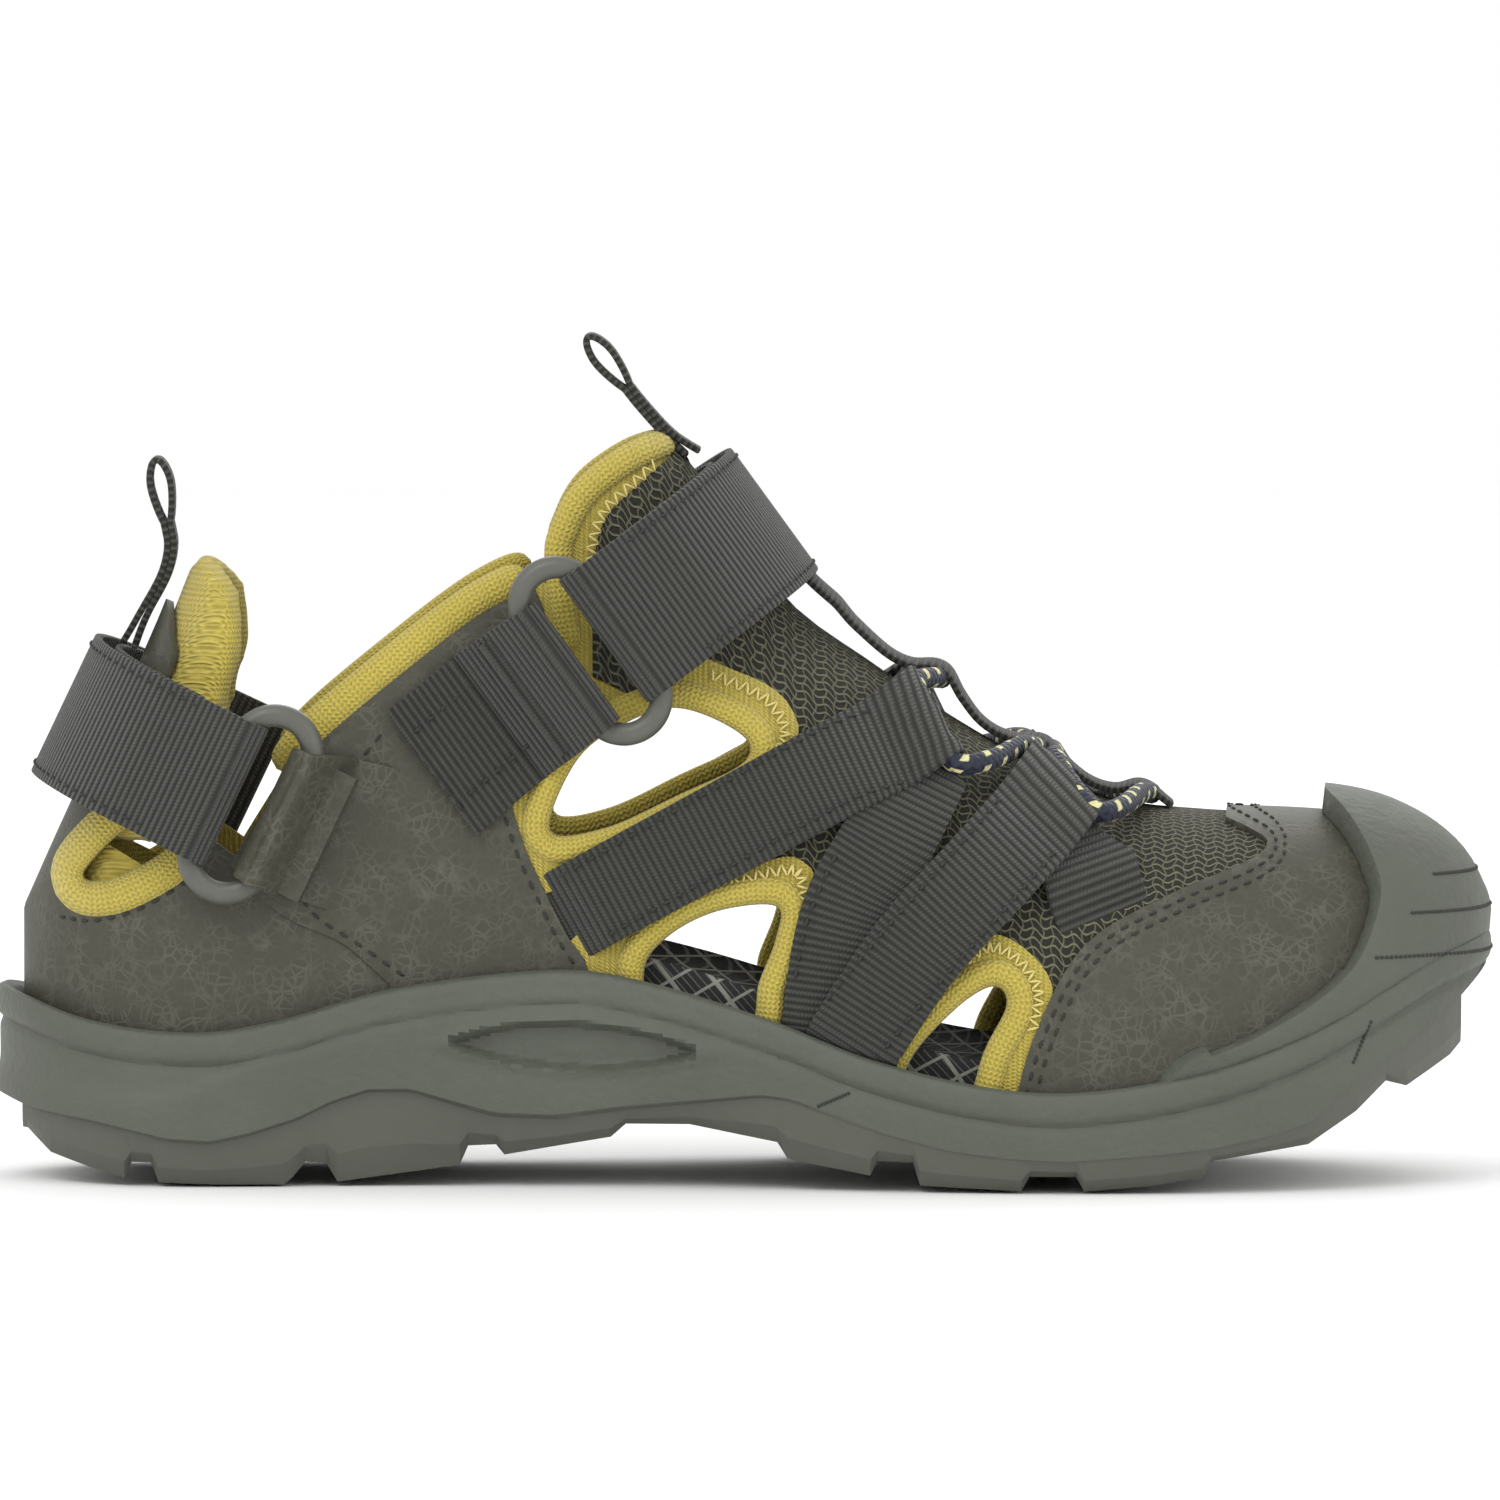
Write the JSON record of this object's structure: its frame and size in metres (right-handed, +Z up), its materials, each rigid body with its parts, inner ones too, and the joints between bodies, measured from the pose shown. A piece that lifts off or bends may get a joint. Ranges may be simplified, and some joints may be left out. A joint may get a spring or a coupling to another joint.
{
  "type": "sport sandal",
  "caption": "Closed-toe strappy sport sandal for the left foot: moulded sole with toe bumper, windowed mesh upper, webbing, elastic lace and two ring-and-strap closures",
  "frame": {"origin": "on the ground under the middle of the shoe", "axes": "+X towards the toe, +Z up, -Y the inner (medial) side"},
  "size_m": [0.2494, 0.0993, 0.1408],
  "materials": {
    "sole_rubber": "matte moulded rubber with a fine leathery grain",
    "sole_foam": "moulded sole compound, matte with a fine wrinkled grain",
    "board": "pressed fibre board",
    "footbed_foam": "black knit over foam with a pale grid",
    "synthetic_leather": "crackle-embossed synthetic leather, satin",
    "yellow_knit": "brushed mustard-yellow stretch knit",
    "mesh_fabric": "open three-dimensional olive mesh",
    "lace_cord": "braided elastic cord, navy with pale yellow flecks",
    "ring_plastic": "moulded nylon, satin",
    "fastener_black": "hook-and-loop tape",
    "webbing": "ribbed grosgrain webbing"
  },
  "bodies": {
    "shoe": {"outsole": "sole_rubber", "midsole": "sole_foam", "toe_bumper": "sole_foam", "strobel_board": "board", "footbed": "footbed_foam", "heel_overlay": "synthetic_leather", "heel_stiffener": "board", "toe_stiffener": "board", "heel_pad": "yellow_knit", "toe_cap": "synthetic_leather", "vamp_mesh": "mesh_fabric", "tongue": "mesh_fabric", "tongue_binding": "yellow_knit", "lace_tape": "webbing", "elastic_lace": "lace_cord", "quarter_medial": "synthetic_leather", "collar_binding_medial": "yellow_knit", "rear_webbing_medial": "webbing", "front_webbing_medial": "webbing", "heel_window_binding_medial": "yellow_knit", "instep_window_binding_medial": "yellow_knit", "arch_window_binding_medial": "yellow_knit", "forefoot_window_binding_medial": "yellow_knit", "quarter_lateral": "synthetic_leather", "collar_binding_lateral": "yellow_knit", "rear_webbing_lateral": "webbing", "front_webbing_lateral": "webbing", "heel_window_binding_lateral": "yellow_knit", "instep_window_binding_lateral": "yellow_knit", "arch_window_binding_lateral": "yellow_knit", "forefoot_window_binding_lateral": "yellow_knit", "instep_ring_tab": "webbing", "instep_strap_base": "webbing", "instep_loop_patch": "fastener_black", "heel_ring_tab": "synthetic_leather", "heel_strap_base": "webbing", "heel_loop_patch": "fastener_black"},
    "instep_ring": {"instep_ring": "ring_plastic"},
    "instep_flap": {"instep_strap_flap": "webbing", "instep_hook_patch": "fastener_black"},
    "heel_ring": {"heel_ring": "ring_plastic"},
    "heel_flap": {"heel_strap_flap": "webbing", "heel_hook_patch": "fastener_black"},
    "tongue_pull": {"tongue_pull_loop": "webbing"},
    "heel_pull": {"heel_pull_loop": "webbing"}
  },
  "joints": [
    {"name": "instep_ring_swing", "type": "hinge", "parent": "shoe", "child": "instep_ring", "pos_m": [-0.03132, -0.035, 0.08496], "axis": [0.5878, 0, -0.809], "range_deg": [0, 30]},
    {"name": "instep_strap_peel", "type": "hinge", "parent": "instep_ring", "child": "instep_flap", "pos_m": [-0.02128, -0.035, 0.09224], "axis": [0.5878, 0, -0.809], "range_deg": [0, 110]},
    {"name": "heel_ring_swing", "type": "hinge", "parent": "shoe", "child": "heel_ring", "pos_m": [-0.0768, -0.0342, 0.06053], "axis": [0.4305, 0, 0.9026], "range_deg": [0, 30]},
    {"name": "heel_strap_peel", "type": "hinge", "parent": "heel_ring", "child": "heel_flap", "pos_m": [-0.088, -0.0342, 0.06587], "axis": [0.4305, 0, 0.9026], "range_deg": [0, 110]},
    {"name": "tongue_pull_flex", "type": "hinge", "parent": "shoe", "child": "tongue_pull", "pos_m": [-0.0105, 0, 0.1212], "axis": [0, 1, 0], "range_deg": [-4, 25], "stiffness_Nm_per_rad": 0.005},
    {"name": "heel_pull_flex", "type": "hinge", "parent": "shoe", "child": "heel_pull", "pos_m": [-0.1005, 0, 0.0932], "axis": [0, 1, 0], "range_deg": [-25, 0], "stiffness_Nm_per_rad": 0.005}
  ]
}
